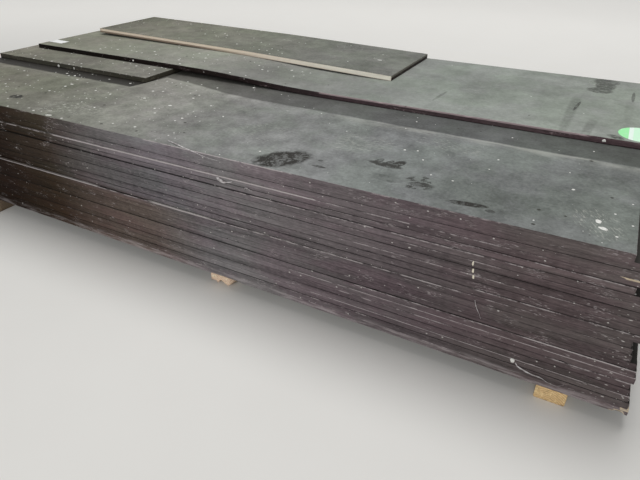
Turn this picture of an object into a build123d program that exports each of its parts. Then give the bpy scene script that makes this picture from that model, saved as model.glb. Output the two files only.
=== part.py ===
from build123d import *
import math
import os

os.makedirs("parts", exist_ok=True)

# Stack of film-faced plywood sheets on softwood bearers, in millimetres.
# X runs along the sheets, Y across them from the open face to the back, Z up from the floor.
# Until the last section, X = 0 is the right end of the top full sheet and Y = 0 is the open face.

# Full sheets
sheet_length = 2500
sheet_width = 1250
sheet_thickness = 18
eased_arris = 0.7

# Lifts of full sheets from the top down: how many sheets, how far their right ends are pushed out
# past the lean of the stack, and how far their left front corners jut out of the open face
crown_count = 1
crown_push = 0
crown_jut = 0
rim_count = 2
rim_push = 20
rim_jut = 0.5
lip_count = 1
lip_push = 20
lip_jut = 12
notch_count = 1
notch_push = 4
notch_jut = -5
shoulder_count = 6
shoulder_push = 22
shoulder_jut = 1
ledge_count = 1
ledge_push = 4
ledge_jut = 14
waist_count = 2
waist_push = 4
waist_jut = 2
belly_count = 3
belly_push = 14
belly_jut = 1.5
foot_count = 5
foot_push = 5
foot_jut = 0

# Lean of the right ends from one sheet to the next, and the small wander of the front edges
end_lean = 4
face_wander = 0.9
wander_turn = 2.4

# Short sheet, cut from a full one, lying on the top full sheet with its left and back edges flush
short_sheet_length = 845
short_sheet_width = 814

# Long strip, cut along a full sheet: its left part lies on the short sheet and it sags to the stack,
# and its back edge is flush with the stack
strip_length = 2500
strip_width = 662
strip_right_end = 60
strip_overhang = 22
sag_run = 666
sag_ease = 0.85

# Offcut with raw sawn edges, lying on the strip with its left end lifted. Its right end lies past
# that of the short sheet, and its back edge lies in from that of the stack
offcut_length = 1520
offcut_width_left = 370
offcut_width_right = 408
offcut_past_short_sheet = 815
offcut_set_in = 4
offcut_lift = 10
offcut_clearance = 0.1

# Bearers, flat on the floor under the stack
bearer_width = 70
bearer_height = 38
bearer_length = 1235
bearer_arris = 2.5
right_bearer_centre = -68
right_bearer_front = 0
middle_bearer_centre = -1026
middle_bearer_front = 0
left_bearer_from_left_end = 410
left_bearer_front = -30

# Piece split off the underside of the middle bearer's front end
split_height = 13
split_run = 70
split_notch_width = 18
split_notch_height = 7

solids = {}


def add(name, solid):
    solid.label = name
    solids[name] = solid


# Full sheets

lifts = [
    (crown_count, crown_push, crown_jut),
    (rim_count, rim_push, rim_jut),
    (lip_count, lip_push, lip_jut),
    (notch_count, notch_push, notch_jut),
    (shoulder_count, shoulder_push, shoulder_jut),
    (ledge_count, ledge_push, ledge_jut),
    (waist_count, waist_push, waist_jut),
    (belly_count, belly_push, belly_jut),
    (foot_count, foot_push, foot_jut),
]
sheet_count = sum(count for count, push, jut in lifts)
stack_top = bearer_height + sheet_count * sheet_thickness


def flat_sheet(length, width):
    """A flat sheet with eased edges: right front bottom corner at the origin, running to -X and +Y."""
    blank = Box(length, width, sheet_thickness, align=(Align.MAX, Align.MIN, Align.MIN))
    return chamfer(blank.edges(), eased_arris)


sheets_above = 0
for count, push, jut in lifts:
    for sheet in range(count):
        end = end_lean * sheets_above + push
        front = face_wander * math.sin(wander_turn * sheets_above)
        turn = math.degrees(math.asin(jut / sheet_length))
        bottom = stack_top - (sheets_above + 1) * sheet_thickness
        place = Location((end, front, bottom), (0, 0, turn))
        number = sheet_count - sheets_above
        add(f"sheet_{number:02d}", place * flat_sheet(sheet_length, sheet_width))
        sheets_above += 1

# Short sheet

short_sheet_right_end = short_sheet_length - sheet_length
short_sheet_front = sheet_width - short_sheet_width
short_sheet_place = Location((short_sheet_right_end, short_sheet_front, stack_top))
add("short_sheet", short_sheet_place * flat_sheet(short_sheet_length, short_sheet_width))

# Long strip


def slope(start, end):
    return math.atan2(end[1] - start[1], end[0] - start[0])


def bent_board(underside, bend_radii, front, back):
    """A board of even thickness that follows a line of (x, z) points along its underside.

    Each bend radius is that of the hollow side, and the board runs from front to back along Y.
    """
    slopes = [slope(start, end) for start, end in zip(underside, underside[1:])]
    before = [slopes[0]] + slopes
    after = slopes + [slopes[-1]]
    upper = []
    for (x, z), left, right in zip(underside, before, after):
        middle = (left + right) / 2
        reach = sheet_thickness / math.cos((right - left) / 2)
        upper.append((x - reach * math.sin(middle), z + reach * math.cos(middle)))
    lower_radii = []
    upper_radii = []
    for radius, left, right in zip(bend_radii, slopes, slopes[1:]):
        crest = right < left
        lower_radii.append(radius if crest else radius + sheet_thickness)
        upper_radii.append(radius + sheet_thickness if crest else radius)
    with BuildPart() as board:
        with BuildSketch(Plane.XZ.offset(-front)):
            with BuildLine():
                FilletPolyline(*underside, radius=lower_radii)
                Line(underside[-1], upper[-1])
                FilletPolyline(*upper, radius=upper_radii)
                Line(underside[0], upper[0])
            make_face()
        extrude(amount=front - back)
    return board.part


strip_left_end = strip_right_end - strip_length
sag_start = short_sheet_right_end + strip_overhang
sag_end = sag_start + sag_run
sag_slope = math.atan(sheet_thickness / (sag_run / 2))
sag_tangent = sag_ease * sag_run / 4
sag_radius = sag_tangent / math.tan(sag_slope / 2) - sheet_thickness
strip_underside = [
    (strip_left_end, stack_top + sheet_thickness),
    (sag_start + sag_run / 4, stack_top + sheet_thickness),
    (sag_end - sag_run / 4, stack_top),
    (strip_right_end, stack_top),
]
strip_front = sheet_width - strip_width
add("long_strip", bent_board(strip_underside, [sag_radius, sag_radius], strip_front, sheet_width))

# Offcut

offcut_right_end = short_sheet_right_end + offcut_past_short_sheet
offcut_left_end = offcut_right_end - offcut_length
offcut_back = sheet_width - offcut_set_in
offcut_front_left = offcut_back - offcut_width_left
offcut_front_right = offcut_back - offcut_width_right

# It lies against the crest of the strip's upper face, which is this arc
crest_radius = sag_radius + sheet_thickness + offcut_clearance
crest_tangent = sag_radius * math.tan(sag_slope / 2)
crest_x = sag_start + sag_run / 4 - crest_tangent
crest_z = stack_top + sheet_thickness - sag_radius


def tangent_angle(x, z, side):
    """Slope of the line from a point that touches the crest arc, on the point's left or right."""
    distance = math.hypot(x - crest_x, z - crest_z)
    bearing = math.atan2(x - crest_x, z - crest_z)
    return bearing + side * math.acos(crest_radius / distance)


strip_top_left = stack_top + 2 * sheet_thickness
strip_top_right = stack_top + sheet_thickness
lifted_end = (offcut_left_end, strip_top_left + offcut_lift)
resting_end = (offcut_right_end, strip_top_right)
left_fall = tangent_angle(*lifted_end, 1)
right_fall = tangent_angle(*resting_end, -1)
middle_fall = (left_fall + right_fall) / 2
crest_reach = crest_radius / math.cos((right_fall - left_fall) / 2)
offcut_bend = (crest_x + crest_reach * math.sin(middle_fall), crest_z + crest_reach * math.cos(middle_fall))
offcut_blank = bent_board(
    [lifted_end, offcut_bend, resting_end], [crest_radius], min(offcut_front_left, offcut_front_right), offcut_back
)

# The sawn front edge runs at a slight angle to the back edge
sawn_away = Polygon(
    (offcut_left_end - sheet_thickness, offcut_front_right - sheet_width),
    (offcut_right_end + sheet_thickness, offcut_front_right - sheet_width),
    (offcut_right_end + sheet_thickness, offcut_front_right),
    (offcut_left_end - sheet_thickness, offcut_front_left),
    align=None,
)
offcut_cutter = Pos(0, 0, stack_top) * extrude(sawn_away, amount=sheet_width)
add("offcut", offcut_blank - offcut_cutter)

# Bearers


def bearer(centre, front):
    blank = Box(bearer_width, bearer_length, bearer_height, align=(Align.CENTER, Align.MIN, Align.MIN))
    blank = chamfer(blank.edges().filter_by(Axis.Y), bearer_arris)
    return Pos(centre, front, 0) * blank


left_bearer_centre = left_bearer_from_left_end - sheet_length
add("bearer_right", bearer(right_bearer_centre, right_bearer_front))
add("bearer_left", bearer(left_bearer_centre, left_bearer_front))

split_wedge = Polygon((0, 0), (split_run, 0), (0, split_height), align=None)
split = extrude(Plane.YZ.offset(-bearer_width / 2) * split_wedge, amount=bearer_width)
split_notch = Box(
    split_notch_width,
    split_run / 2,
    split_height + split_notch_height,
    align=(Align.CENTER, Align.MIN, Align.MIN),
)
split_place = Pos(middle_bearer_centre, middle_bearer_front, 0)
whole_bearer = bearer(middle_bearer_centre, middle_bearer_front)
add("bearer_middle", whole_bearer - split_place * split - split_place * split_notch)

# Origin at the middle of the underside of the whole stack

whole = Compound(children=[Compound(solid.wrapped) for solid in solids.values()]).bounding_box()
to_origin = Pos(-(whole.min.X + whole.max.X) / 2, -(whole.min.Y + whole.max.Y) / 2, -whole.min.Z)
print("moved by", to_origin.position)
for name, solid in solids.items():
    placed = to_origin * solid
    placed.label = name
    box = placed.bounding_box()
    print(name, box.min, box.max, placed.volume)
    export_step(placed, f"parts/{name}.step")
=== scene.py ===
import math

import bpy
import numpy as np
from mathutils import Matrix, Vector
from mathutils.bvhtree import BVHTree


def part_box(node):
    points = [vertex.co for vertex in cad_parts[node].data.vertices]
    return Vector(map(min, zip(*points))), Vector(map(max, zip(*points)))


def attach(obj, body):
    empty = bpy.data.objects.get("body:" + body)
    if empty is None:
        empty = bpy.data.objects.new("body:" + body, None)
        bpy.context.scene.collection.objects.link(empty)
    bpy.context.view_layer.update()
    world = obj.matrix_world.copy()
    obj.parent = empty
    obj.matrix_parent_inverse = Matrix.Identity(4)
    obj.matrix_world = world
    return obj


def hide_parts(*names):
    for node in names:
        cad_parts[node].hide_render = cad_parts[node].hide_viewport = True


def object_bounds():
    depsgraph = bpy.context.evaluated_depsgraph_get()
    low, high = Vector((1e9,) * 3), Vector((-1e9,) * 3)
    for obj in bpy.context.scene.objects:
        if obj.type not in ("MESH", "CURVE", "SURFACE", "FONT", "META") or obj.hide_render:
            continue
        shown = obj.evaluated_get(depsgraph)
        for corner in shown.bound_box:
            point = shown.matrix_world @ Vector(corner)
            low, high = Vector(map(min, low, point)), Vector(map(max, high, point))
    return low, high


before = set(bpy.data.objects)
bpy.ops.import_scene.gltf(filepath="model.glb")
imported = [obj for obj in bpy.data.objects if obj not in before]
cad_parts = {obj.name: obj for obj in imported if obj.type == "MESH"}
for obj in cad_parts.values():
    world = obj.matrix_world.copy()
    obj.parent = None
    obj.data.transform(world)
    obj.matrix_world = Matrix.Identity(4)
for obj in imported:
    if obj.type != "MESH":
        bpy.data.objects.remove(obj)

cad_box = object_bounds()

# Bearers
# Three rough sawn softwood battens, 70 x 38 mm, laid flat on the floor across the stack, which rests
# on them unfixed. The middle one has split along its underside at the front end.

END_GRAIN_STEP = 0.0022
BATTEN_STEP = 0.09
BATTEN_ARRIS = 0.0025
# Where the plain sides start, behind the front end or behind the split
END_BLOCK = 0.02
SPLIT_BLOCK = 0.085
SAW_MARK = 0.0005
SAW_MARK_TURN = 0.9
SIDE_WANDER = 0.008
SPLIT_HEIGHT = 0.012
SPLIT_DEPTH = 0.066
SPLIT_WAVE = 0.0025
SPLIT_WAVE_TURN = 190
SPLINTER_HEIGHT = 0.0018
SPLINTER_DEPTH = 0.004
NOTCH_HEIGHT = 0.008
NOTCH_HALF_WIDTH = 0.009


def put(tree, kind, inputs=None, **settings):
    """Adds a shader node, gives it its settings, and sets or links its inputs."""
    node = tree.nodes.new("ShaderNode" + kind)
    for setting, value in settings.items():
        setattr(node, setting, value)
    for label, value in (inputs or {}).items():
        if isinstance(value, bpy.types.NodeSocket):
            tree.links.new(value, node.inputs[label])
        else:
            node.inputs[label].default_value = value
    return node


def calc(tree, operation, first, second=0.0, third=0.0, clamp=False):
    """Result of one Math node."""
    inputs = {0: first, 1: second, 2: third}
    return put(tree, "Math", inputs, operation=operation, use_clamp=clamp).outputs[0]


def times(tree, first, second):
    return calc(tree, "MULTIPLY", first, second)


def highest(tree, first, second):
    return calc(tree, "MAXIMUM", first, second)


def total(tree, start, *terms):
    """The start plus the sum of value x factor pairs."""
    result = start
    for value, factor in terms:
        result = calc(tree, "MULTIPLY_ADD", value, factor, result)
    return result


def fade(tree, value, start, end, low=0.0, high=1.0):
    """Eases from low to high while value goes from start to end."""
    inputs = {0: value, 1: start, 2: end, 3: low, 4: high}
    return put(tree, "MapRange", inputs, interpolation_type="SMOOTHSTEP").outputs[0]


def tint(tree, share, under, over, how="MIX"):
    """Lays one colour over another by a share from 0 to 1."""
    inputs = {0: share, 6: under, 7: over}
    node = put(tree, "Mix", inputs, data_type="RGBA", blend_type=how, clamp_factor=True)
    return node.outputs[2]


def split(tree, vector):
    return put(tree, "SeparateXYZ", {0: vector}).outputs


def cloud(tree, position, size, seed=0.0, detail=3.0, roughness=0.55):
    """Soft noise from 0 to 1, with patches about size metres long, or as long as size in x, y and z."""
    lengths = (size, size, size) if isinstance(size, float) else size
    shrink = tuple(1 / length for length in lengths)
    scaled = put(tree, "VectorMath", {0: position, 1: shrink}, operation="MULTIPLY").outputs[0]
    inputs = {"Vector": scaled, "W": seed, "Scale": 1.0, "Detail": detail, "Roughness": roughness}
    return put(tree, "TexNoise", inputs, noise_dimensions="4D").outputs[0]


def new_effect(name, inputs, outputs):
    """A shader node group that takes a Position, a Seed and its own inputs.

    Returns the group, what comes into it and what it gives out.
    """
    effect = bpy.data.node_groups.new(name, "ShaderNodeTree")
    for label, value in {"Position": (0.0, 0.0, 0.0), "Seed": 0.0, **inputs}.items():
        kind = "NodeSocketFloat" if isinstance(value, float) else "NodeSocketVector"
        socket = effect.interface.new_socket(label, in_out="INPUT", socket_type=kind)
        socket.default_value = value
    for label in outputs:
        effect.interface.new_socket(label, in_out="OUTPUT", socket_type="NodeSocketFloat")
    came_in = effect.nodes.new("NodeGroupInput").outputs
    goes_out = effect.nodes.new("NodeGroupOutput").inputs
    return effect, came_in, goes_out


def use(tree, effect, **values):
    """Places an effect in a material with that material's own values."""
    return put(tree, "Group", values, node_tree=effect).outputs


def new_material(name):
    """A material: returns it with its node tree, its Principled BSDF and the point on the object."""
    material = bpy.data.materials.new(name)
    material.use_nodes = True
    tree = material.node_tree
    skin = tree.nodes["Principled BSDF"]
    place = tree.nodes.new("ShaderNodeTexCoord").outputs["Object"]
    return material, tree, skin, place


def finish_skin(tree, skin, colour, roughness, height, relief, gloss):
    """Links the finished colour, roughness and relief in metres to a material's shader."""
    bump = put(tree, "Bump", {"Strength": 1.0, "Distance": relief, "Height": height})
    tree.links.new(colour, skin.inputs["Base Color"])
    tree.links.new(roughness, skin.inputs["Roughness"])
    tree.links.new(bump.outputs[0], skin.inputs["Normal"])
    skin.inputs["Specular IOR Level"].default_value = gloss


def build_piece(name, points, faces, materials, kinds=None, values=None):
    """Makes a smooth mesh object that rides on the stack, with named values on its points."""
    mesh = bpy.data.meshes.new(name)
    mesh.from_pydata(points, [], faces)
    for material in materials:
        mesh.materials.append(material)
    if kinds is not None:
        mesh.polygons.foreach_set("material_index", kinds)
    mesh.polygons.foreach_set("use_smooth", [True] * len(mesh.polygons))
    for label, numbers in (values or {}).items():
        mesh.attributes.new(label, "FLOAT", "POINT").data.foreach_set("value", numbers)
    mesh.update()
    piece = bpy.data.objects.new(name, mesh)
    bpy.context.scene.collection.objects.link(piece)
    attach(piece, "root")
    return piece


# Growth rings round a pith that runs along Y, and the fibres between them
growth_rings, coming, going = new_effect(
    "Growth rings", {"Pith": (0.0, 0.0, 0.0), "Ring": 0.003, "Wobble": 0.006}, ["Latewood", "Fibre"]
)
tree, at, seed = growth_rings, coming["Position"], coming["Seed"]
inputs = {0: at, 1: coming["Pith"]}
from_pith = put(tree, "VectorMath", inputs, operation="SUBTRACT").outputs[0]
side = split(tree, from_pith)
across = calc(tree, "SQRT", total(tree, 0.0, (side["X"], side["X"]), (side["Z"], side["Z"])))
bend = cloud(tree, from_pith, (0.03, 0.5, 0.03), seed)
ring = calc(tree, "DIVIDE", total(tree, across, (bend, coming["Wobble"])), coming["Ring"])
ring = calc(tree, "FRACT", ring)
late = times(tree, fade(tree, ring, 0.35, 0.85), fade(tree, ring, 1.0, 0.93))
fibre = cloud(tree, at, (0.0015, 0.05, 0.0015), seed, 2.0)
tree.links.new(late, going["Latewood"])
tree.links.new(fibre, going["Fibre"])


def softwood(name, pith, ring_width, early, late, stain, seed):
    """Sawn softwood with its pith at (x, z), soiled by the floor along its lower edge."""
    material, tree, skin, place = new_material(name)
    grain = use(tree, growth_rings, Position=place, Pith=(pith[0], 0.0, pith[1]), Ring=ring_width, Seed=seed)
    colour = tint(tree, times(tree, grain["Latewood"], 0.8), early, late)
    colour = tint(tree, fade(tree, grain["Fibre"], 0.35, 0.7, 0.0, 0.5), colour, late)
    bruise = cloud(tree, place, (0.009, 0.03, 0.006), seed + 2.0, 5.0, 0.7)
    colour = tint(tree, fade(tree, bruise, 0.52, 0.68, 0.0, 0.6), colour, stain)
    pale = cloud(tree, place, (0.012, 0.05, 0.012), seed + 9.0, 4.0, 0.7)
    light_end = tuple(min(1.0, 1.3 * level) for level in early[:3]) + (1,)
    colour = tint(tree, fade(tree, pale, 0.52, 0.66, 0.0, 0.7), colour, light_end)
    dirt = cloud(tree, place, (0.02, 0.06, 0.012), seed + 5.0, 5.0, 0.65)
    low = fade(tree, split(tree, place)["Z"], 0.01, 0.0)
    dirt = fade(tree, total(tree, dirt, (low, 0.12)), 0.56, 0.78, 0.0, 0.8)
    colour = tint(tree, dirt, colour, stain)
    roughness = fade(tree, dirt, 0.0, 1.0, 0.72, 0.9)
    height = total(tree, grain["Fibre"], (grain["Latewood"], 0.4), (bruise, 1.5))
    finish_skin(tree, skin, colour, roughness, height, 0.0008, 0.2)
    return material


def batten(node, material, seed, broken=None):
    """A sawn batten in a bearer's place, with a fine grid of end grain at its front end."""
    low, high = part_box(node)
    rng = np.random.default_rng(seed)
    columns = round((high.x - low.x) / END_GRAIN_STEP)
    rows = round((high.z - low.z) / END_GRAIN_STEP)
    half = np.array([(high.x - low.x) / 2, (high.z - low.z) / 2])
    middle = np.array([(high.x + low.x) / 2, (high.z + low.z) / 2])
    grid = {}
    for column in range(columns + 1):
        for row in range(rows + 1):
            spot = np.array([(2 * column / columns - 1) * half[0], (2 * row / rows - 1) * half[1]])
            past = BATTEN_ARRIS - (half - abs(spot)).sum()
            if past > 0:
                spot -= np.sign(spot) * past / 2
            grid[column, row] = spot
    comb = rng.uniform(-1, 1, columns + 1)
    points = []
    index = {}
    for (column, row), spot in grid.items():
        depth = SAW_MARK * (rng.uniform(0, 1) + abs(math.sin(row * SAW_MARK_TURN + seed)))
        if broken:
            depth += broken(spot[0], spot[1] + half[1], comb[column])
        index[column, row] = len(points)
        points.append((middle[0] + spot[0], low.y + depth, middle[1] + spot[1]))
    faces = []
    for column in range(columns):
        for row in range(rows):
            corners = ((0, 0), (1, 0), (1, 1), (0, 1))
            faces.append(tuple(index[column + c, row + r] for c, r in corners))
    rim = [(column, 0) for column in range(columns)]
    rim += [(columns, row) for row in range(rows)]
    rim += [(column, rows) for column in range(columns, 0, -1)]
    rim += [(0, row) for row in range(rows, 0, -1)]
    ring_before = [index[spot] for spot in rim]
    stations = [low.y + (SPLIT_BLOCK if broken else END_BLOCK)]
    while stations[-1] < high.y - BATTEN_STEP:
        stations.append(stations[-1] + BATTEN_STEP)
    stations += [high.y - 0.001, high.y]
    for station in stations:
        shrink = 1 - SIDE_WANDER * rng.uniform(0, 1)
        ring_now = []
        for spot in rim:
            ring_now.append(len(points))
            points.append((middle[0] + grid[spot][0] * shrink, station, middle[1] + grid[spot][1]))
        for k in range(len(rim)):
            after = (k + 1) % len(rim)
            faces.append((ring_before[after], ring_before[k], ring_now[k], ring_now[after]))
        ring_before = ring_now
    faces.append(tuple(ring_before[::-1]))
    piece = build_piece(node + "_timber", points, faces, [material])
    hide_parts(node)


def split_underneath(x, z, chance):
    """How far back the middle bearer's end has broken away, by place in the end face."""
    notch = NOTCH_HEIGHT * max(0.0, 1 - abs(x) / NOTCH_HALF_WIDTH) ** 0.3
    edge = SPLIT_HEIGHT + SPLIT_WAVE * math.sin(x * SPLIT_WAVE_TURN) + SPLINTER_HEIGHT * chance + notch
    if z >= edge:
        return 0.0
    return SPLIT_DEPTH * (1 - z / edge) ** 0.85 + SPLINTER_DEPTH * (1 + chance)


right_low, right_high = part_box("bearer_right")
tan_wood = softwood(
    "softwood_tan", pith=((right_low.x + right_high.x) / 2 - 0.01, -0.028), ring_width=0.0055,
    early=(0.84, 0.62, 0.34, 1), late=(0.54, 0.33, 0.14, 1), stain=(0.3, 0.19, 0.1, 1), seed=3.0
)
batten("bearer_right", tan_wood, 11)
middle_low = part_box("bearer_middle")[0]
pale_wood = softwood(
    "softwood_pale", pith=(middle_low.x - 0.02, 0.07), ring_width=0.0045,
    early=(0.88, 0.72, 0.53, 1), late=(0.7, 0.44, 0.32, 1), stain=(0.3, 0.2, 0.12, 1), seed=8.0
)
batten("bearer_middle", pale_wood, 12, split_underneath)
left_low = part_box("bearer_left")[0]
# The left batten's colours are darkened as painted shade
grey_wood_in_painted_shade = softwood(
    "softwood_grey_painted_shade", pith=(left_low.x + 0.05, -0.03), ring_width=0.0048,
    early=(0.26, 0.2, 0.14, 1), late=(0.15, 0.105, 0.065, 1), stain=(0.1, 0.075, 0.05, 1), seed=14.0
)
batten("bearer_left", grey_wood_in_painted_shade, 13)

# Full sheets
# Twenty-two film-faced birch plywood sheets, 2500 x 1250 x 18 mm: a brown phenolic film pressed on both
# faces, and edges sealed with brown paint. They lie loose on each other, so their edges don't line up.

THICKNESS = 0.018
EDGE_STEP = 0.01
END_STEP = 0.02
FACE_RIM = 0.006
PROFILE_STEPS = 1200
PROFILE_BLEND = 12
# How far an edge is worn back: in long runs, in short ones, ply by ply, in fine dents and at corners
LONG_WEAR = 0.0005
SHORT_WEAR = 0.0002
PLY_WEAR = 0.00018
FINE_WEAR = 0.00012
CORNER_WEAR = 0.0004
# Dust on an arris where nothing else is said, and the length over which it changes
LITTLE_DUST = 0.1
DUST_BLEND = 0.03


def crossing(first, second):
    """Where the lines through two pairs of plan points cross."""
    a, b = first
    c, d = second
    way = b - a
    other = d - c
    apart = c - a
    share = (apart[0] * other[1] - apart[1] * other[0]) / (way[0] * other[1] - way[1] * other[0])
    return a + way * share


def plan_corners(node):
    """A board's corners seen from above: front right, front left, back left, back right."""
    at = np.array([vertex.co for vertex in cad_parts[node].data.vertices])[:, :2]
    middle = (at.min(0) + at.max(0)) / 2

    def side_line(axis, sign):
        near = at[at[:, 1 - axis] < middle[1 - axis]]
        far = at[at[:, 1 - axis] >= middle[1 - axis]]
        return near[np.argmax(sign * near[:, axis])], far[np.argmax(sign * far[:, axis])]

    front, right, back, left = side_line(1, -1), side_line(0, 1), side_line(1, 1), side_line(0, -1)
    return [crossing(front, right), crossing(front, left), crossing(back, left), crossing(back, right)]


def solid_of(node):
    """A CAD node's surface, ready for casting rays at."""
    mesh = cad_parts[node].data
    return BVHTree.FromPolygons([v.co for v in mesh.vertices], [p.vertices for p in mesh.polygons])


def level_lines(node, corners, bent):
    """Heights of a board's underside and upper face as functions of x."""
    low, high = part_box(node)
    if not bent:
        return (lambda x: x * 0 + low.z), (lambda x: x * 0 + high.z)
    solid = solid_of(node)
    stations = np.linspace(low.x + 0.001, high.x - 0.001, PROFILE_STEPS)
    y = (max(corners[0][1], corners[1][1]) + high.y) / 2
    window = 2 * PROFILE_BLEND + 1
    lines = []
    for start, way in ((low.z - 1, 1), (high.z + 1, -1)):
        heights = [solid.ray_cast(Vector((x, y, start)), Vector((0, 0, way)))[0].z for x in stations]
        padded = np.pad(heights, PROFILE_BLEND, mode="reflect", reflect_type="odd")
        smooth = np.convolve(padded, np.ones(window) / window, "valid")
        lines.append(lambda x, smooth=smooth: np.interp(x, stations, smooth))
    return lines


def wander(rng, at, pitch, size):
    """A random line through places 'at', with a turn every pitch metres."""
    knots = int((at.max() - at.min()) / pitch) + 4
    spots = np.linspace(at.min() - pitch, at.max() + pitch, knots)
    return np.interp(at, spots, rng.uniform(-1, 1, knots)) * size


def chip_wear(spots, share, chips):
    """What chips do at one height of a front edge: how far in, how far down, and where wood is bare."""
    push, drop, bare = np.zeros((3, len(spots)))
    for x, reach, depth, upper, worn in chips:
        near = np.clip(1 - abs(spots[:, 0] - x) / (reach * 1.05), 0, 1) ** 0.6
        from_arris = (1 - share if upper else share) * THICKNESS
        weight = near * np.clip(1 - from_arris / (depth * 1.6), 0, 1)
        push = push + weight * depth
        drop = drop + weight * depth * (-0.7 if upper else 0.7)
        bare = np.maximum(bare, (weight > 0.12) * worn)
    return push, drop, bare


def dust_along(spots, dust):
    """How much pale dust lies on each spot of an arris, from (from x, to x, amount) stretches."""
    amount = np.full(len(spots), LITTLE_DUST)
    for from_x, to_x, strength in dust:
        inside = np.minimum(spots[:, 0] - from_x, to_x - spots[:, 0])
        inside = np.clip(inside / DUST_BLEND + 0.5, 0, 1)
        amount = amount + (strength - amount) * inside
    return amount


def board_faces(front_count, end_count, ring_count, raw_front):
    """Faces round a board's edges and over both its sides, with a kind: 0 film, 1 edge or 2 raw edge."""
    count = 2 * (front_count + end_count)
    faces, kinds = [], []
    for ring in range(ring_count - 1):
        for k in range(count):
            a, b = ring * count + k, ring * count + (k + 1) % count
            faces.append((a, a + count, b + count, b))
            edge_kind = 2 if raw_front and k < front_count else 1
            kinds.append(0 if ring in (0, ring_count - 2) else edge_kind)
    for base, upper_face in ((0, False), ((ring_count - 1) * count, True)):
        for k in range(front_count):
            back = 2 * front_count + end_count - k
            loop = [k, k + 1, back - 1, back]
            if k == 0:
                loop = [0, 1, back - 1] + list(range(back, count))
            elif k == front_count - 1:
                loop = list(range(k, front_count + end_count + 2))
            loop = [base + spot for spot in loop]
            faces.append(tuple(loop[::-1] if upper_face else loop))
            kinds.append(0)
    return faces, kinds


def board(node, materials, seed, arris=0.0007, chips=(), bent=False, plies=5, dust=(),
          gap=0.5, tone=0.0, raw_front=False):
    """A plywood board in a CAD node's place, with rounded, dented and chipped arrises.

    A chip is (x, half length, depth, which arris: 1 upper or 0 lower, bare wood from 0 to 1), and dust
    is (from x, to x, amount) along the front upper arris.
    """
    corners = plan_corners(node)
    under, over = level_lines(node, corners, bent)
    rng = np.random.default_rng(seed)
    length = np.linalg.norm(corners[1] - corners[0])
    width = np.linalg.norm(corners[2] - corners[1])
    shares = list(np.linspace(0, 1, round(length / EDGE_STEP) + 1))
    for x, reach, depth, upper, worn in chips:
        middle = (corners[0][0] - x) / length
        shares += [middle + k * reach / length for k in (-1.0, -0.55, -0.2, 0.15, 0.6, 1.0)]
    shares = np.unique(np.clip(np.round(shares, 6), 0, 1))
    ends = np.linspace(0, 1, round(width / END_STEP) + 1)
    sides = [shares, ends, 1 - shares[::-1], ends]
    inward = []
    for k in range(4):
        way = corners[(k + 1) % 4] - corners[k]
        way = way / np.linalg.norm(way)
        inward.append(np.array([way[1], -way[0]]))
    low_part = [(FACE_RIM, 0.0), (arris, 0.0)]
    low_part += [(arris * 0.3, arris * 0.3 / THICKNESS), (0.0, arris / THICKNESS)]
    rings = low_part + [(0.0, (k + 1) / (plies + 1)) for k in range(plies)]
    rings += [(inset, 1 - share) for inset, share in low_part[::-1]]
    wear = []
    for k in range(4):
        along = sides[k][:-1] * (length if k % 2 == 0 else width)
        wear.append(abs(wander(rng, along, 0.35, LONG_WEAR)) + abs(wander(rng, along, 0.04, SHORT_WEAR)))
    points, height, dusty, bare = [], [], [], []
    for inset, share in rings:
        ply_wear = rng.uniform(0, PLY_WEAR)
        for k in range(4):
            start = corners[k] + (inward[k] + inward[k - 1]) * inset
            end = corners[(k + 1) % 4] + (inward[(k + 1) % 4] + inward[k]) * inset
            along = sides[k][:-1]
            spots = start + (end - start) * along[:, None]
            on_edge = inset != FACE_RIM
            push, drop, worn_here = chip_wear(spots, share, chips if on_edge and k == 0 else ())
            if on_edge:
                even = wear[k] + ply_wear + abs(wander(rng, along * length, 0.02, FINE_WEAR))
                even[0] = CORNER_WEAR
                push = push + even
            spots = spots + inward[k] * push[:, None]
            low_z, high_z = under(spots[:, 0]), over(spots[:, 0])
            z = low_z + (high_z - low_z) * share + drop
            points += [(x, y, level) for (x, y), level in zip(spots, z)]
            height += [share] * len(along)
            bare += list(worn_here)
            dusty += list(dust_along(spots, dust if k == 0 else ()))
    faces, kinds = board_faces(len(shares) - 1, len(ends) - 1, len(rings), raw_front)
    values = {"height": height, "dust": dusty, "bare": bare}
    values["gap"] = [gap] * len(points)
    values["tone"] = [tone] * len(points)
    piece = build_piece(node + "_board", points, faces, materials, kinds, values)
    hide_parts(node)


# Brush streaks and weathering of a painted edge, and painted shade in the joint where two boards meet
streaked_paint, coming, going = new_effect(
    "Streaked paint", {"Height": 0.5, "Tone": 0.0, "Gap": 0.5}, ["Shade", "Grain"]
)
tree, at, seed = streaked_paint, coming["Position"], coming["Seed"]
broad = cloud(tree, at, (0.45, 0.45, 0.02), seed)
thin = cloud(tree, at, (0.2, 0.2, 0.003), seed)
fine = cloud(tree, at, (0.014, 0.014, 0.003), seed, 4.0, 0.65)
drips = cloud(tree, at, (0.03, 0.03, 0.3), seed)
shade = total(tree, -1.1, (broad, 1.5), (thin, 0.9), (fine, 1.3), (drips, 0.5), (coming["Tone"], 0.15))
patch = cloud(tree, at, (0.22, 0.22, 0.02), seed)
patch = fade(tree, patch, 0.32, 0.55, 0.4, 1.0)
wide = total(tree, 0.08, (coming["Gap"], 0.16))
# Painted shade in the joint below and above a board, wider and darker as Gap grows
joint_shade = fade(tree, coming["Height"], 0.93, 0.99, 0.0, 0.6)
joint_shade = highest(tree, fade(tree, coming["Height"], wide, times(tree, wide, 0.3)), joint_shade)
joint_shade = times(tree, times(tree, joint_shade, patch), coming["Gap"])
shade = times(tree, shade, total(tree, 1.0, (joint_shade, -0.78)))
tree.links.new(highest(tree, shade, 0.05), going["Shade"])
tree.links.new(thin, going["Grain"])

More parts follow.
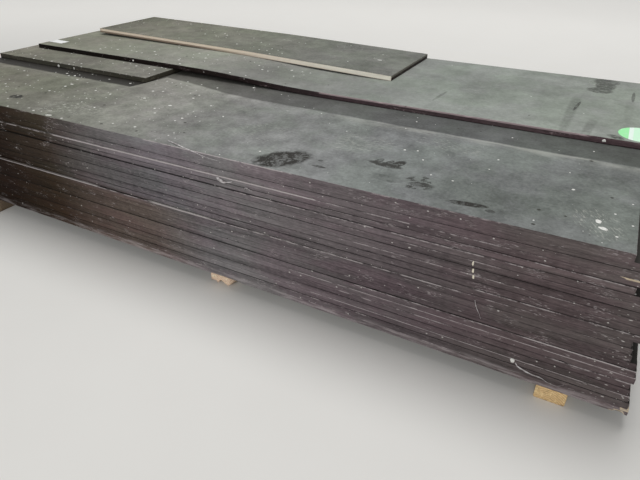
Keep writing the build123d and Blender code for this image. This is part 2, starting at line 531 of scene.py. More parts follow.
# Pale dust lying along the upper arris in broken lines, and scores and scuffs on the edge
pale_marks, coming, going = new_effect("Pale marks", {"Height": 0.5, "Dust": LITTLE_DUST}, ["Mark"])
tree, at, seed = pale_marks, coming["Position"], coming["Seed"]
ragged = cloud(tree, at, (0.035, 0.035, 0.03), seed, 6.0, 0.7)
lying = fade(tree, total(tree, ragged, (coming["Dust"], 0.36)), 0.62, 0.76)
edge = total(tree, coming["Height"], (ragged, 0.16))
lying = times(tree, lying, fade(tree, edge, 0.9, 1.0))
lying = times(tree, lying, total(tree, 0.25, (coming["Dust"], 0.75)))
score = cloud(tree, at, (0.035, 0.035, 0.0016), seed)
score = fade(tree, score, 0.64, 0.74, 0.0, 0.6)
where = fade(tree, cloud(tree, at, (0.07, 0.07, 0.025), seed, 2.0), 0.57, 0.66)
scuff = cloud(tree, at, (0.012, 0.012, 0.003), seed, 5.0, 0.65)
scuff = fade(tree, scuff, 0.5, 0.64, 0.0, 0.55)
mark = highest(tree, highest(tree, lying, score), times(tree, where, scuff))
tree.links.new(mark, going["Mark"])

# Small ragged spots of dirt or plaster, thinly scattered over X and Y
scattered_specks, coming, going = new_effect(
    "Scattered specks", {"Spacing": 0.03, "Size": 0.1, "Share": 0.5}, ["Speck"]
)
tree, at, seed = scattered_specks, coming["Position"], coming["Seed"]
inputs = {0: at, 1: seed}
shifted = put(tree, "VectorMath", inputs, operation="ADD").outputs[0]
inputs = {0: shifted, "Scale": calc(tree, "DIVIDE", 1.0, coming["Spacing"])}
scaled = put(tree, "VectorMath", inputs, operation="SCALE").outputs[0]
inputs = {"Vector": scaled, "Scale": 1.0}
cells = put(tree, "TexVoronoi", inputs, voronoi_dimensions="2D", feature="F1").outputs
chance = put(tree, "SeparateColor", {0: cells["Color"]}).outputs
size = times(tree, chance[0], chance[0])
reach = times(tree, calc(tree, "MULTIPLY_ADD", size, 0.75, 0.25), coming["Size"])
ragged = cloud(tree, at, 0.003, seed)
ragged = times(tree, calc(tree, "SUBTRACT", ragged, 0.5), coming["Size"])
apart = calc(tree, "ADD", cells["Distance"], ragged)
spot = fade(tree, apart, reach, times(tree, reach, 0.6))
kept = calc(tree, "LESS_THAN", chance[1], coming["Share"])
tree.links.new(times(tree, spot, kept), going["Speck"])

# Fine dust settled in a patchy layer: its cover from 0 to 1, its thickness, its blotches and its hue
settled_dust, coming, going = new_effect(
    "Settled dust", {"Cover": 0.8, "Mottle": 0.3}, ["Cover", "Thickness", "Blotch", "Hue"]
)
tree, at, seed = settled_dust, coming["Position"], coming["Seed"]
broad = cloud(tree, at, 0.3, seed, 5.0, 0.6)
blotch = cloud(tree, at, 0.06, seed, 6.0, 0.7)
fine = cloud(tree, at, 0.008, seed, 3.0, 0.7)
wiped = cloud(tree, at, (0.05, 0.35, 0.35), seed, 4.0, 0.6)
uneven = total(tree, -1.85, (broad, 1.5), (blotch, 1.3), (fine, 0.6), (wiped, 0.3))
cover = calc(tree, "MULTIPLY_ADD", uneven, coming["Mottle"], coming["Cover"], clamp=True)
tree.links.new(cover, going["Cover"])
tree.links.new(times(tree, cover, fine), going["Thickness"])
uneven = total(tree, -1.9, (broad, 1.1), (blotch, 1.5), (fine, 0.9), (wiped, 0.3))
uneven = times(tree, uneven, coming["Mottle"])
tree.links.new(total(tree, 1.0, (uneven, 2.0)), going["Blotch"])
hue = cloud(tree, at, 0.13, calc(tree, "ADD", seed, 7.0), 4.0)
tree.links.new(fade(tree, hue, 0.4, 0.6), going["Hue"])


def ramp(tree, value, stops):
    """A colour that changes with a value through (place, colour) stops."""
    node = put(tree, "ValToRGB", {0: value})
    line = node.color_ramp
    while len(line.elements) < len(stops):
        line.elements.new(0.5)
    for element, (place, colour) in zip(line.elements, stops):
        element.position = place
        element.color = (*colour, 1)
    return node.outputs[0]


def along_stack(tree, place):
    """0 at the stack's left end and 1 at its right end."""
    low, high = cad_box
    return calc(tree, "DIVIDE", calc(tree, "SUBTRACT", split(tree, place)["X"], low.x), high.x - low.x)


def point_value(tree, label):
    return put(tree, "Attribute", attribute_name=label).outputs["Fac"]


def grey(tree, value):
    return put(tree, "CombineColor", {0: value, 1: value, 2: value}).outputs[0]


BARE_BIRCH = (0.7, 0.58, 0.42, 1)
EDGE_CHIP = (0.62, 0.6, 0.57, 1)
ROSIER = (1.04, 0.95, 1.0, 1)
BROWNER = (0.9, 0.74, 0.62, 1)
# Edges turn browner low down and to the left, from the first value to the second in z and in x
BROWNED_Z = (0.25, 0.22)
BROWNED_X = (0.2, -0.1)
# Small chips crowd at the right end, growing from the first value to the second in x
CHIPPED_X = (1.17, 1.26)
# Behind the front edges the colours along the stack, painted light included, are as they are at this share of
# the stack's length
EVEN_ALONG = 0.85


def sealed_edge(name, colours_along, pale, seed, settled=None, hang=0.0, even_from=None):
    """Brown edge paint over the plies, with colours that change along the stack, and dusty and worn arrises.

    Settled is the colour of dust that has hung on to the upper half of the edge, and hang is how much
    further than elsewhere the arris dust reaches down, as a share of the thickness. Behind even_from,
    a place in y, the paint looks the same from end to end. On the stack's front the colours along it hold
    painted shade at the left end and a painted sheen in the middle.
    """
    material, tree, skin, place = new_material(name)
    side = split(tree, place)
    height = point_value(tree, "height")
    along = calc(tree, "ADD", side["X"], side["Y"])
    flat = put(tree, "CombineXYZ", {0: times(tree, along, 0.7), 1: side["Z"]}).outputs[0]
    drawn_out = put(tree, "CombineXYZ", {0: times(tree, along, 0.3), 1: side["Z"]}).outputs[0]
    paint = use(
        tree, streaked_paint, Position=place, Height=height, Tone=point_value(tree, "tone"),
        Gap=point_value(tree, "gap"), Seed=seed
    )
    shade = times(tree, paint["Shade"], fade(tree, side["Z"], 0.1, 0.42, 0.96, 1.1))
    spot = along_stack(tree, place)
    browned = times(tree, fade(tree, side["Z"], *BROWNED_Z), fade(tree, side["X"], *BROWNED_X))
    if even_from is not None:
        behind = fade(tree, side["Y"], even_from, even_from + 0.15)
        spot = total(tree, spot, (behind, calc(tree, "SUBTRACT", EVEN_ALONG, spot)))
        browned = times(tree, browned, calc(tree, "SUBTRACT", 1.0, behind))
    # The colours along the stack: on its front, painted shade at the left end and a painted sheen in the
    # middle
    colour = tint(tree, 1.0, ramp(tree, spot, colours_along), grey(tree, shade), "MULTIPLY")
    hue = cloud(tree, place, (0.18, 0.18, 0.06), seed + 11.0, 3.0)
    colour = tint(tree, fade(tree, hue, 0.42, 0.6), colour, ROSIER, "MULTIPLY")
    colour = tint(tree, browned, colour, BROWNER, "MULTIPLY")
    foot = cloud(tree, place, (0.1, 0.1, 0.012), seed + 6.0, 5.0, 0.65)
    foot = times(tree, fade(tree, side["Z"], 0.068, 0.044), fade(tree, foot, 0.42, 0.62, 0.0, 0.5))
    raised = calc(tree, "ADD", height, hang) if hang else height
    marks = use(tree, pale_marks, Position=place, Height=raised, Dust=point_value(tree, "dust"), Seed=seed)
    specks = use(tree, scattered_specks, Position=flat, Spacing=0.026, Size=0.09, Share=0.25, Seed=seed)
    chipped = use(
        tree, scattered_specks, Position=drawn_out, Spacing=0.006, Size=0.27, Share=0.32, Seed=seed + 2
    )
    near_end = times(tree, fade(tree, side["X"], *CHIPPED_X), fade(tree, side["Y"], -0.6, -0.5, 1.0, 0.15))
    light = highest(tree, marks["Mark"], foot)
    light = times(tree, light, fade(tree, side["X"], -1.0, -0.3, 0.5, 1.0))
    if settled:
        upper = total(tree, height, (cloud(tree, place, (0.03, 0.03, 0.01), seed + 4.0), 0.2))
        colour = tint(tree, fade(tree, upper, 0.62, 0.74), colour, settled)
    colour = tint(tree, light, colour, pale)
    chips = times(tree, chipped["Speck"], near_end)
    chips = highest(tree, chips, times(tree, specks["Speck"], 0.8))
    colour = tint(tree, chips, colour, EDGE_CHIP)
    light = highest(tree, light, chips)
    bare = times(tree, point_value(tree, "bare"), fade(tree, paint["Grain"], 0.3, 0.45))
    colour = tint(tree, bare, colour, BARE_BIRCH)
    roughness = fade(tree, light, 0.0, 1.0, 0.55, 0.9)
    relief = total(tree, paint["Grain"], (light, 0.4))
    finish_skin(tree, skin, colour, roughness, relief, 0.0005, 0.06)
    return material


PALE_DUST = (0.5, 0.455, 0.455, 1)
# Colours along the stack's front: the dark left end is painted shade and the pale grey middle is a painted
# sheen, over the paint's own brown
STACK_COLOURS_AND_PAINTED_LIGHT = [
    (0.1, (0.015, 0.0085, 0.004)),
    (0.21, (0.0118, 0.0055, 0.002)),
    (0.31, (0.039, 0.03, 0.02)),
    (0.4, (0.12, 0.111, 0.111)),
    (0.5, (0.162, 0.157, 0.164)),
    (0.6, (0.17, 0.16, 0.162)),
    (0.69, (0.137, 0.12, 0.124)),
    (0.79, (0.113, 0.093, 0.098)),
    (0.9, (0.102, 0.085, 0.083)),
]
stack_edge = sealed_edge("edge_paint_stack", STACK_COLOURS_AND_PAINTED_LIGHT, PALE_DUST, 2.0, even_from=-0.6)

FILM_BROWN = (0.016, 0.0145, 0.012, 1)
BANKED_DUST = (0.43, 0.43, 0.39, 1)
DARK_GRIT = (0.03, 0.027, 0.022, 1)
WHITE_FLECK = (0.8, 0.8, 0.76, 1)


def film_face(name, dust_stops, seed, cover, wiped=None, mottle=0.38, flecks=(-0.6, 0.5, 0.6, 0.15)):
    """Brown film under settled dust, with flecks of plaster and grit.

    Wiped gives masks of rubbed places, which on the top sheet also hold painted shade, and of thicker, paler
    dust, and flecks holds the two places in x between which the flecks thin out, with their share before and
    after.
    """
    material, tree, skin, place = new_material(name)
    side = split(tree, place)
    flat = put(tree, "CombineXYZ", {0: side["X"], 1: side["Y"]}).outputs[0]
    layer = use(tree, settled_dust, Position=place, Cover=cover, Mottle=mottle, Seed=seed)
    dust_colour = ramp(tree, along_stack(tree, place), dust_stops)
    dust_colour = tint(tree, layer["Hue"], dust_colour, (0.96, 1.0, 0.95, 1), "MULTIPLY")
    dust_colour = tint(tree, 1.0, dust_colour, grey(tree, layer["Blotch"]), "MULTIPLY")
    amount = layer["Cover"]
    if wiped:
        thinned, banked = wiped(tree, place)
        amount = times(tree, amount, calc(tree, "SUBTRACT", 1.0, thinned))
        if banked is not None:
            amount = calc(tree, "ADD", amount, times(tree, banked, 0.3), clamp=True)
            dust_colour = tint(tree, banked, dust_colour, BANKED_DUST)
    colour = tint(tree, amount, FILM_BROWN, dust_colour)
    strewn = fade(tree, cloud(tree, place, (0.2, 0.12, 0.2), seed + 3.0, 4.0), 0.44, 0.6, 0.06, 1.4)
    share = times(tree, strewn, fade(tree, side["X"], *flecks))
    size = fade(tree, side["X"], -0.4, 0.5, 0.16, 0.09)
    specks = use(tree, scattered_specks, Position=flat, Spacing=0.036, Size=size, Share=share, Seed=seed)
    grit = use(tree, scattered_specks, Position=flat, Spacing=0.07, Size=0.09, Share=share, Seed=seed + 4)
    colour = tint(tree, times(tree, grit["Speck"], 0.8), colour, DARK_GRIT)
    colour = tint(tree, times(tree, specks["Speck"], 0.95), colour, WHITE_FLECK)
    colour = tint(tree, point_value(tree, "bare"), colour, BARE_BIRCH)
    roughness = fade(tree, amount, 0.0, 1.0, 0.65, 0.9)
    height = total(tree, layer["Thickness"], (specks["Speck"], 0.8))
    finish_skin(tree, skin, colour, roughness, height, 0.0009, 0.12)
    return material


def drifted_ledge(tree, place):
    """Dust lies in drifts where a sheet juts out, as thick as that sheet's own dust value lets it."""
    drift = cloud(tree, place, (0.05, 0.03, 0.05), 31.0, 6.0, 0.7)
    much = total(tree, drift, (point_value(tree, "dust"), 0.45))
    return fade(tree, much, 0.9, 0.7), None


LEDGE_DUST = [
    (0.0, (0.09, 0.07, 0.055)),
    (0.25, (0.14, 0.12, 0.105)),
    (0.36, (0.3, 0.28, 0.275)),
    (0.47, (0.5, 0.47, 0.46)),
    (0.6, (0.56, 0.53, 0.51)),
    (0.88, (0.4, 0.37, 0.35)),
    (0.95, (0.06, 0.055, 0.05)),
]
ledge_face = film_face("film_dusty_ledge", LEDGE_DUST, 5.0, 0.95, drifted_ledge)

# Where pale dust shows along the upper arris of a sheet, as (from x, to x, amount)
ARRIS_DUST = {
    "sheet_19": [(-1.3, -0.9, 0.45), (-0.9, -0.45, 0.7), (-0.45, 0.52, 1.0), (0.52, 1.07, 0.55)],
    "sheet_18": [(0.45, 1.25, 0.5)],
    "sheet_17": [(0.2, 1.05, 0.55)],
    "sheet_16": [(0.5, 1.0, 0.4)],
    "sheet_14": [(0.62, 1.15, 0.55)],
    "sheet_12": [(0.9, 1.3, 0.5)],
    "sheet_11": [
        (-1.3, -0.27, 0.95), (-0.27, -0.05, 0.5), (-0.05, 0.17, 1.0), (0.17, 0.9, 0.6), (0.9, 1.3, 0.35),
    ],
    "sheet_08": [(0.6, 1.15, 0.35)],
    "sheet_07": [(0.63, 1.05, 0.5), (1.05, 1.3, 0.85)],
    "sheet_06": [(0.0, 0.45, 0.4), (0.45, 1.3, 0.75)],
    "sheet_05": [(0.55, 0.9, 0.45), (1.1, 1.3, 0.6)],
    "sheet_03": [(0.1, 0.5, 0.45), (0.5, 1.3, 0.75)],
    "sheet_02": [(0.3, 0.7, 0.45)],
    "sheet_01": [(-0.6, 0.9, 0.5)],
}
# How dark the painted shade in the joint under a sheet is, where it isn't left to chance
JOINT_GAP = {
    "sheet_21": 0.1, "sheet_20": 0.2, "sheet_19": 1.0, "sheet_18": 0.95, "sheet_17": 0.7, "sheet_14": 0.75,
    "sheet_12": 0.5, "sheet_08": 0.9, "sheet_05": 0.85, "sheet_04": 0.6,
}
# What is left to chance: a dent's half length and depth, the rounding of arrises, how dark the painted shade
# in a joint is
DENT_REACH = (0.003, 0.012)
DENT_DEPTH = (0.0008, 0.002)
ROUNDING = (0.0005, 0.0009)
USUAL_GAP = (0.15, 0.6)
# Sheets whose joint is lighter than this lie tight, with sharper arrises
TIGHT_GAP = 0.25
SHARP_ROUNDING = 0.0003
rng = np.random.default_rng(7)
full_sheets = sorted(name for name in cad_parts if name.startswith("sheet_"))
for order, node in enumerate(full_sheets[:-1]):
    low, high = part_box(node)
    dents = []
    for _ in range(int(rng.integers(3, 8))):
        x = rng.uniform(low.x + 0.1, high.x - 0.03)
        reach, depth = rng.uniform(*DENT_REACH), rng.uniform(*DENT_DEPTH)
        dents.append((x, reach, depth, int(rng.integers(0, 2)), 0.0))
    if node == full_sheets[0]:
        dents += [(high.x - 0.006, 0.012, 0.006, 1, 1.0), (high.x - 0.018, 0.012, 0.005, 0, 1.0)]
        dents += [(0.2, 0.06, 0.0015, 0, 0.0)]
    if node == "sheet_19":
        dents += [(high.x - 0.022, 0.02, 0.003, 1, 1.0)]
    rounding = rng.uniform(*ROUNDING)
    gap = JOINT_GAP.get(node, rng.uniform(*USUAL_GAP))
    if gap < TIGHT_GAP:
        rounding = SHARP_ROUNDING
    tone = rng.uniform(-1, 1)
    board(
        node, [ledge_face, stack_edge], 100 + order, arris=rounding, chips=dents,
        dust=ARRIS_DUST.get(node, ()), gap=gap, tone=tone
    )

# Top sheet
# The uppermost full sheet has lain open, so grey dust covers its film. It is darker and clean where the
# cut sheets sheltered it, darker still by painted shade in front of the short sheet, and boots have lifted
# the dust in a few prints near the open edge.

# A mark lifted from the dust or rubbed into it: an uneven patch round X and Y, weaker at one end
trodden, coming, going = new_effect(
    "Trodden mark",
    {"X": 0.0, "Y": 0.0, "Turn": 0.0, "Length": 0.1, "Width": 0.08, "Ragged": 0.0, "Soft": 0.25},
    ["Mark"],
)
tree, at, seed = trodden, coming["Position"], coming["Seed"]
side = split(tree, at)
beside = calc(tree, "SUBTRACT", side["X"], coming["X"])
behind = calc(tree, "SUBTRACT", side["Y"], coming["Y"])
moved = put(tree, "CombineXYZ", {0: beside, 1: behind}).outputs[0]
inputs = {"Vector": moved, "Angle": coming["Turn"]}
turned = split(tree, put(tree, "VectorRotate", inputs, rotation_type="Z_AXIS").outputs[0])
lengthwise = calc(tree, "DIVIDE", turned["X"], coming["Length"])
crosswise = calc(tree, "DIVIDE", turned["Y"], coming["Width"])
away = calc(tree, "SQRT", total(tree, 0.0, (lengthwise, lengthwise), (crosswise, crosswise)))
smudge = cloud(tree, at, 0.02, seed, 4.0, 0.65)
inside = fade(tree, total(tree, away, (smudge, 0.8)), calc(tree, "ADD", coming["Soft"], 1.2), 1.2)
lean = calc(tree, "SINE", times(tree, turned["X"], math.tau))
lean = fade(tree, total(tree, lean, (smudge, 0.8)), -0.35, 0.15)
speckled = cloud(tree, at, 0.008, seed, 4.0, 0.7)
worn = fade(tree, total(tree, smudge, (speckled, 0.8)), 0.78, 0.94, 0.45, 1.0)
own_place = put(tree, "CombineXYZ", {0: turned["X"], 1: turned["Y"]}).outputs[0]
smear = cloud(tree, own_place, (0.02, 0.005, 0.02), seed, 5.0, 0.7)
smear = times(tree, fade(tree, smear, 0.52, 0.6, -1.0, 0.0), coming["Ragged"])
worn = times(tree, worn, calc(tree, "ADD", smear, 1.0))
tree.links.new(times(tree, inside, times(tree, lean, worn)), going["Mark"])

# Marks on the top sheet: x, y, turn in degrees, half length, half width, strength
BOOT_MARKS = [
    (0.372, -0.545, -50, 0.088, 0.052, 1.0),
    (0.624, -0.449, 4, 0.05, 0.015, 0.9),
    (0.653, -0.432, -70, 0.032, 0.015, 0.95),
    (0.629, -0.436, -70, 0.024, 0.01, 0.9),
    (0.601, -0.434, -70, 0.02, 0.01, 0.8),
    (0.66, -0.522, 0, 0.05, 0.02, 0.2),
    (0.676, -0.534, 0, 0.014, 0.008, 0.45),
    (0.648, -0.512, 0, 0.018, 0.006, 0.4),
    (0.868, -0.562, -8, 0.048, 0.012, 1.0),
    (0.92, -0.572, 0, 0.012, 0.008, 0.6),
    (0.483, -0.541, 0, 0.022, 0.006, 0.8),
    (0.468, -0.505, 0, 0.008, 0.007, 0.6),
    (-0.72, -0.52, 0, 0.028, 0.022, 1.0),
    (0.82, -0.38, 0, 0.07, 0.09, 0.15),
]
# Patches of thicker and paler dust, in the same form
SCUFFS = [
    (-0.47, -0.52, -10, 0.17, 0.06, 1.0),
    (-0.32, -0.325, 30, 0.045, 0.02, 0.95),
    (-0.245, -0.25, 5, 0.05, 0.008, 0.95),
    (0.5, -0.35, -20, 0.12, 0.07, 0.5),
    (0.7, -0.24, 10, 0.16, 0.04, 0.4),
    (1.13, -0.515, 60, 0.08, 0.05, 0.6),
    (0.2, -0.4, 15, 0.12, 0.08, 0.3),
]
# The clean band's edge: share of the stack's length, and y
BAND_EDGE = [
    (0.0, -0.236), (0.322, -0.236), (0.332, -0.075), (0.41, -0.104), (0.46, -0.135),
    (0.52, -0.146), (0.7, -0.152), (1.0, -0.156),
]
# A print of round studs: its x, y and reach
STUDS = (0.737, -0.511, 0.042)


def any_mark(tree, place, marks, ragged=0.0, soft=0.25):
    """The strongest of several marks at each point."""
    result = 0.0
    for number, (x, y, turn, half_length, half_width, strength) in enumerate(marks):
        mark = use(
            tree, trodden, Position=place, X=x, Y=y, Turn=math.radians(turn), Length=half_length,
            Width=half_width, Ragged=ragged, Soft=soft, Seed=float(number)
        )["Mark"]
        result = highest(tree, result, times(tree, mark, strength))
    return result


def top_rubbed_and_shaded(tree, place):
    """Where dust is thin on the top sheet, with painted shade in the band in front of the short sheet, and
    the pale ridge of dust along the clean band.
    """
    side = split(tree, place)
    curve = put(tree, "FloatCurve", {1: along_stack(tree, place)})
    line = curve.mapping.curves[0]
    while len(line.points) < len(BAND_EDGE):
        line.points.new(0.5, 0.5)
    for point, (share, y) in zip(line.points, BAND_EDGE):
        point.location = (share, y + 0.5)
        point.handle_type = "VECTOR"
    curve.mapping.update()
    edge = calc(tree, "SUBTRACT", curve.outputs[0], 0.5)
    soft = cloud(tree, place, (0.08, 0.05, 0.05), 3.0, 4.0)
    past = calc(tree, "SUBTRACT", total(tree, side["Y"], (soft, 0.016)), edge)
    # In front of the short sheet the band is deeper: clean film, darkened further as painted shade
    short_band_clean_and_shaded = fade(tree, side["X"], -0.44, -0.46, 0.0, 0.36)
    depth = total(tree, short_band_clean_and_shaded, (fade(tree, past, 0.0, 0.12), 0.08))
    depth = calc(tree, "ADD", depth, fade(tree, side["X"], 0.15, 0.45, 0.61, 0.47))
    band = times(tree, fade(tree, past, -0.004, 0.01), depth)
    bank = times(tree, fade(tree, past, -0.055, -0.004), fade(tree, past, 0.006, -0.002))
    bank = times(tree, bank, fade(tree, side["X"], 0.2, 0.6, 0.15, 0.45))
    broken = cloud(tree, place, (0.12, 0.03, 0.12), 6.0, 4.0)
    bank = times(tree, bank, fade(tree, broken, 0.4, 0.6, 0.2, 1.0))
    x, y, reach = STUDS
    studs = use(tree, scattered_specks, Position=place, Spacing=0.021, Size=1.1, Share=0.95, Seed=5.0)
    ring = use(tree, trodden, Position=place, X=x, Y=y, Length=reach, Width=reach)
    studs = times(tree, times(tree, studs["Speck"], ring["Mark"]), 0.85)
    thinned = highest(tree, highest(tree, band, any_mark(tree, place, BOOT_MARKS)), studs)
    return thinned, highest(tree, bank, any_mark(tree, place, SCUFFS, 1.0))


TOP_DUST = [
    (0.0, (0.19, 0.178, 0.146)),
    (0.25, (0.195, 0.194, 0.161)),
    (0.42, (0.27, 0.262, 0.245)),
    (0.55, (0.24, 0.243, 0.235)),
    (0.75, (0.202, 0.21, 0.21)),
    (1.0, (0.194, 0.206, 0.196)),
]
top_face = film_face("film_dusty_top", TOP_DUST, 1.0, 0.9, top_rubbed_and_shaded)
dents = [(-0.45, 0.02, 0.003, 1, 0.0), (0.13, 0.03, 0.0015, 1, 0.0), (0.29, 0.012, 0.0018, 1, 0.0)]
dents += [(0.62, 0.006, 0.0015, 1, 0.0), (0.95, 0.01, 0.001, 1, 0.0)]
board(
    full_sheets[-1], [top_face, stack_edge], 150, arris=0.0005, chips=dents,
    dust=[(-1.3, -0.05, 0.3), (-0.05, 0.45, 0.75), (0.45, 1.21, 0.35)], gap=0.1, tone=0.2
)

# Short sheet
# An 845 x 814 mm piece cut from a full sheet, laid with its left and back edges flush with the stack.
# Its cut edges have been painted again, so they are nearly as dark as the factory ones.

SHORT_DUST = [(0.0, (0.23, 0.217, 0.18)), (0.1, (0.195, 0.187, 0.158)), (0.33, (0.222, 0.216, 0.192))]
short_face = film_face("film_dusty_short", SHORT_DUST, 9.0, 0.93)
SHORT_EDGE = [(0.0, (0.052, 0.049, 0.037)), (0.2, (0.062, 0.06, 0.047)), (0.32, (0.045, 0.042, 0.032))]
short_edge = sealed_edge("edge_paint_short", SHORT_EDGE, (0.3, 0.28, 0.22, 1), 41.0)
dents = [(-1.2, 0.03, 0.003, 1, 0.0), (-0.52, 0.01, 0.002, 1, 0.0), (-0.8, 0.008, 0.002, 0, 0.0)]
board(
    "short_sheet", [short_face, short_edge], 160, arris=0.0008, chips=dents,
    dust=[(-1.3, -0.45, 0.2)], gap=0.8
)

# Long strip
# A strip 662 mm wide, cut along a full sheet. Its left part lies on the short sheet and the rest sags
# down to the top sheet. A blank paper label is stuck near its left end and a round one near its right.

STRIP_MARKS = [
    (1.062, 0.595, 0, 0.045, 0.055, 0.7),
    (1.063, 0.535, 0, 0.036, 0.06, 0.75),
    (1.05, 0.47, 0, 0.045, 0.04, 0.7),
    (1.0, 0.241, 95, 0.062, 0.0055, 0.85),
    (1.156, 0.435, 90, 0.07, 0.006, 0.6),
    (1.128, -0.004, 30, 0.026, 0.014, 0.8),
    (0.58, 0.14, 95, 0.07, 0.006, 0.4),
]
# Softer and longer drag marks on the strip
STRIP_DRAGS = [
    (0.99, 0.25, 90, 0.28, 0.011, 0.3),
    (1.055, 0.05, 94, 0.15, 0.01, 0.3),
    (1.15, 0.3, 90, 0.14, 0.01, 0.15),
    (0.68, 0.32, 80, 0.14, 0.06, 0.22),
    (0.6, 0.45, 20, 0.12, 0.04, 0.15),
    (-0.1, 0.1, 10, 0.2, 0.05, 0.15),
]
STRIP_SCUFFS = [
    (0.68, 0.2, 86, 0.2, 0.012, 0.25),
    (1.02, 0.57, 80, 0.04, 0.02, 0.5),
    (-0.733, 0.0, 10, 0.04, 0.006, 0.9),
    (-0.37, 0.057, 20, 0.02, 0.008, 0.8),
]


def rubbed_strip(tree, place):
    """Where dust is thin or thick on the long strip."""
    dragged = any_mark(tree, place, STRIP_DRAGS, soft=1.0)
    thinned = highest(tree, any_mark(tree, place, STRIP_MARKS), dragged)
    return thinned, any_mark(tree, place, STRIP_SCUFFS, 1.0)


STRIP_DUST = [
    (0.0, (0.3, 0.294, 0.242)),
    (0.1, (0.253, 0.248, 0.207)),
    (0.26, (0.262, 0.262, 0.226)),
    (0.345, (0.3, 0.3, 0.265)),
    (0.45, (0.235, 0.236, 0.218)),
    (0.62, (0.23, 0.238, 0.224)),
    (0.72, (0.26, 0.276, 0.256)),
    (1.0, (0.297, 0.315, 0.288)),
]
strip_face = film_face(
    "film_dusty_strip", STRIP_DUST, 17.0, 0.93, rubbed_strip, mottle=0.24, flecks=(-0.4, 0.3, 0.5, 0.03)
)
STRIP_EDGE = [
    (0.2, (0.006, 0.004, 0.003)),
    (0.45, (0.018, 0.013, 0.012)),
    (0.65, (0.058, 0.042, 0.045)),
    (1.0, (0.1, 0.07, 0.074)),
]
strip_edge = sealed_edge("edge_paint_strip", STRIP_EDGE, (0.42, 0.33, 0.34, 1), 51.0, hang=0.14)
dents = [(0.43, 0.012, 0.0025, 1, 0.0), (0.72, 0.01, 0.002, 1, 0.0), (1.05, 0.02, 0.0015, 1, 0.0)]
board(
    "long_strip", [strip_face, strip_edge], 170, chips=dents, bent=True,
    dust=[(-1.3, 0.2, 0.1), (0.2, 1.06, 0.85), (1.06, 1.3, 0.3)], gap=0.8
)


def surface_height(node, x, y):
    """Height of a CAD node's upper face at a place in plan."""
    return solid_of(node).ray_cast(Vector((x, y, 2.0)), Vector((0, 0, -1)))[0].z


PAPER = 0.0004
LABEL_SIZE = (0.085, 0.044)
LABEL_PLACE = (-1.191, 0.052)
LABEL_TURN = math.radians(-3)
LABEL_CURL = 0.003
LABEL_CURL_FROM = 0.55
LABEL_COLUMNS = 15
LABEL_ROWS = 9


def paper_label(name, material, grid):
    """Thin closed paper made from a grid of upper points, each a column of rows."""
    columns, rows = len(grid), len(grid[0])
    points = [point for column in grid for point in column]
    points += [(x, y, z - PAPER) for x, y, z in points]
    lower = columns * rows
    faces = []
    for c in range(columns - 1):
        for r in range(rows - 1):
            a = c * rows + r
            faces.append((a, a + rows, a + rows + 1, a + 1))
            faces.append((lower + a, lower + a + 1, lower + a + rows + 1, lower + a + rows))
    rim = [c * rows for c in range(columns)] + [(columns - 1) * rows + r for r in range(1, rows)]
    rim += [c * rows + rows - 1 for c in range(columns - 2, -1, -1)] + list(range(rows - 2, 0, -1))
    for a, b in zip(rim, rim[1:] + rim[:1]):
        faces.append((lower + a, lower + b, b, a))
    return build_piece(name, points, faces, [material])


def paper(name, seed):
    """White paper, a little soiled: returns what new_material gives, and the paper's colour."""
    material, tree, skin, place = new_material(name)
    soiled = cloud(tree, place, 0.02, seed, 5.0, 0.65)
    fibres = cloud(tree, place, 0.0012, seed)
    colour = tint(tree, fade(tree, soiled, 0.5, 0.8, 0.0, 0.4), (0.86, 0.87, 0.86, 1), (0.5, 0.5, 0.45, 1))
    finish_skin(tree, skin, colour, fade(tree, fibres, 0.3, 0.7, 0.55, 0.7), fibres, 0.0001, 0.3)
    return material, tree, skin, place, colour


label_z = surface_height("long_strip", *LABEL_PLACE) + PAPER
grid = []
for c in np.linspace(-0.5, 0.5, LABEL_COLUMNS):
    column = []
    for r in np.linspace(-0.5, 0.5, LABEL_ROWS):
        x, y = c * LABEL_SIZE[0], r * LABEL_SIZE[1]
        lift = LABEL_CURL * max(0.0, c + r - LABEL_CURL_FROM) ** 1.5
        column.append((
            LABEL_PLACE[0] + x * math.cos(LABEL_TURN) - y * math.sin(LABEL_TURN),
            LABEL_PLACE[1] + x * math.sin(LABEL_TURN) + y * math.cos(LABEL_TURN),
            label_z + lift,
        ))
    grid.append(column)
paper_label("label_blank", paper("paper_white", 3.0)[0], grid)

STICKER_RADIUS = 0.061
STICKER_PLACE = (1.192, 0.048)
STICKER_STEPS = 28
# Its white bands run from here to here off its middle, and blend over this much
BAND_INSIDE = 0.021
BAND_OUTSIDE = 0.0325
BAND_BLEND = 0.001
DEEP_GREEN = (0.33, 0.83, 0.38, 1)
PALE_GREEN = (0.62, 0.92, 0.68, 1)
BAND_WHITE = (0.8, 0.92, 0.84, 1)
WORN_GREEN = (0.7, 0.78, 0.7, 1)
sticker_paper, tree, skin, place, colour = paper("paper_green", 6.0)
off_centre = calc(tree, "ABSOLUTE", calc(tree, "SUBTRACT", split(tree, place)["X"], STICKER_PLACE[0]))
past_band = fade(tree, off_centre, BAND_OUTSIDE, BAND_OUTSIDE + BAND_BLEND)
colour = tint(tree, past_band, PALE_GREEN, DEEP_GREEN)
white_band = fade(tree, off_centre, BAND_INSIDE, BAND_INSIDE + BAND_BLEND)
white_band = times(tree, white_band, calc(tree, "SUBTRACT", 1.0, past_band))
colour = tint(tree, white_band, colour, BAND_WHITE)
worn = cloud(tree, place, 0.012, 4.0, 4.0)
colour = tint(tree, fade(tree, worn, 0.5, 0.75, 0.0, 0.35), colour, WORN_GREEN)
tree.links.new(colour, skin.inputs["Base Color"])
sticker_z = surface_height("long_strip", *STICKER_PLACE) + PAPER
grid = []
